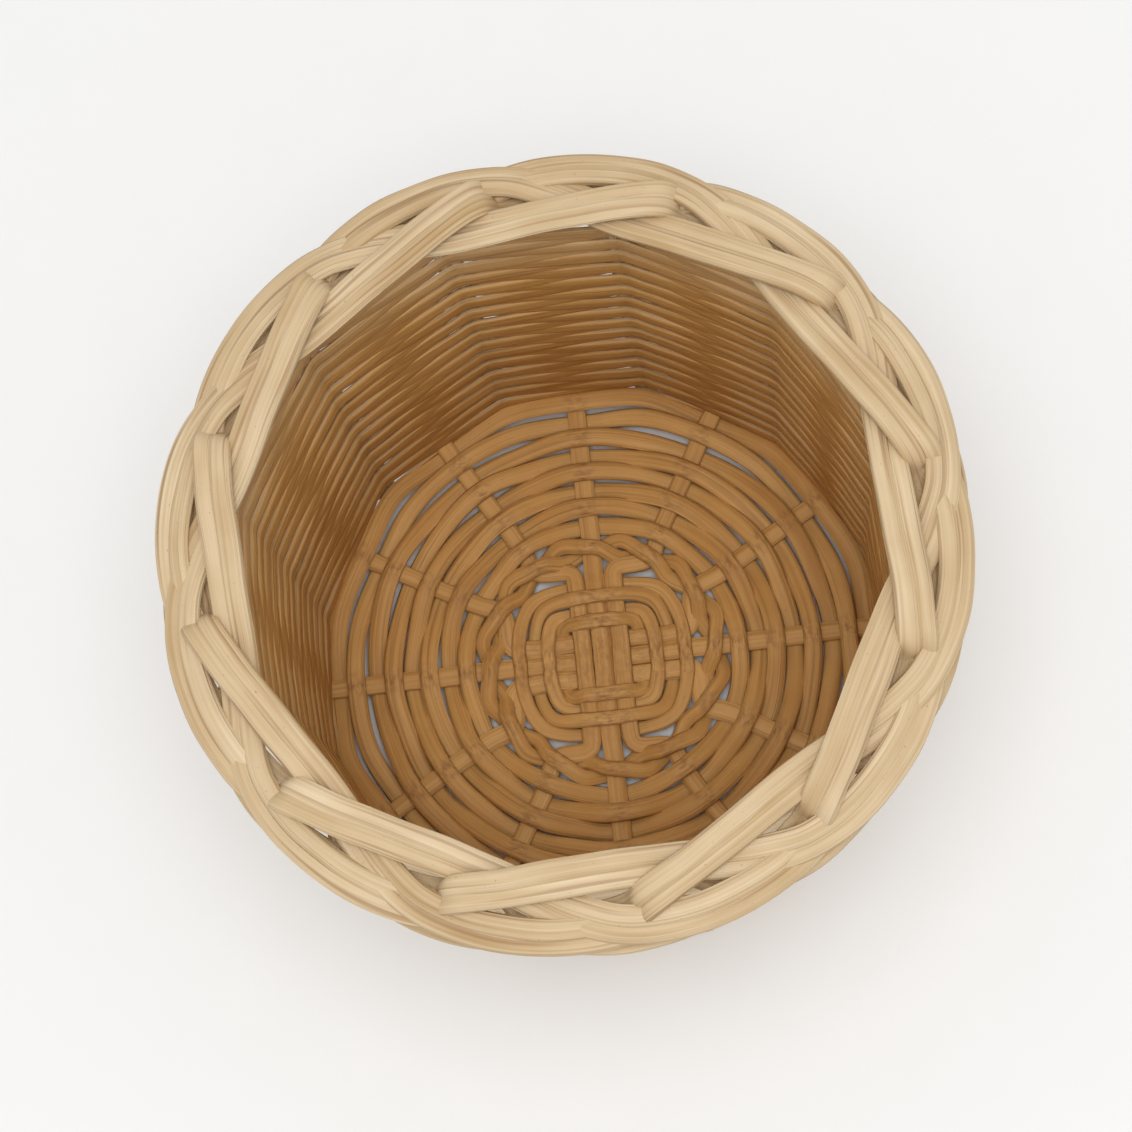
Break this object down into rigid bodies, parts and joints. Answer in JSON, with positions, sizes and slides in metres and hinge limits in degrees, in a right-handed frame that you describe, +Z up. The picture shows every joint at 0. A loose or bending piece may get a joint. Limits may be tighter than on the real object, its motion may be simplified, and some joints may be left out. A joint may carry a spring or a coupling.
{
  "type": "woven wastebasket",
  "caption": "Round wastebasket woven from flat and round peeled cane, with an open cross-tied base, close twelve-sided wall and plaited rim.",
  "frame": {"origin": "on the basket's axis, at the floor", "axes": "+Z up along the basket's axis; the middle sticks of the base cross lie 7 degrees from X and Y"},
  "size_m": [0.2582, 0.2582, 0.21],
  "materials": {
    "base_cane": "satin, peeled rattan cane with fine lengthwise fibres",
    "wall_cane": "satin, peeled rattan cane with fine lengthwise fibres",
    "border_cane": "satin, pale peeled rattan cane with fine lengthwise fibres"
  },
  "bodies": {
    "root": {"base_stick_upper_1": "base_cane", "base_stick_lower_1": "base_cane", "base_stick_upper_2": "base_cane", "base_stick_lower_2": "base_cane", "base_stick_upper_3": "base_cane", "base_stick_lower_3": "base_cane", "tie_round_1": "base_cane", "tie_round_2": "base_cane", "tie_round_3": "base_cane", "tie_round_4": "base_cane", "pairing_strand_1": "base_cane", "pairing_strand_2": "base_cane", "base_row_1": "base_cane", "base_row_2": "base_cane", "base_row_3": "base_cane", "base_row_4": "base_cane", "base_row_5": "base_cane", "base_row_6": "base_cane", "base_row_7": "base_cane", "base_row_8": "base_cane", "stake_pair_01": "border_cane", "stake_pair_02": "border_cane", "stake_pair_03": "border_cane", "stake_pair_04": "border_cane", "stake_pair_05": "border_cane", "stake_pair_06": "border_cane", "stake_pair_07": "border_cane", "stake_pair_08": "border_cane", "stake_pair_09": "border_cane", "stake_pair_10": "border_cane", "stake_pair_11": "border_cane", "stake_pair_12": "border_cane", "wall_foot_course": "wall_cane", "wall_courses_01": "wall_cane", "wall_courses_02": "wall_cane", "wall_courses_03": "wall_cane", "wall_courses_04": "wall_cane", "wall_courses_05": "wall_cane", "wall_courses_06": "wall_cane", "wall_courses_07": "wall_cane", "wall_courses_08": "wall_cane", "wall_courses_09": "wall_cane", "wall_courses_10": "wall_cane", "wall_courses_11": "wall_cane", "wall_courses_12": "wall_cane", "wall_courses_13": "wall_cane", "wall_courses_14": "wall_cane", "wall_courses_15": "wall_cane"}
  },
  "joints": []
}
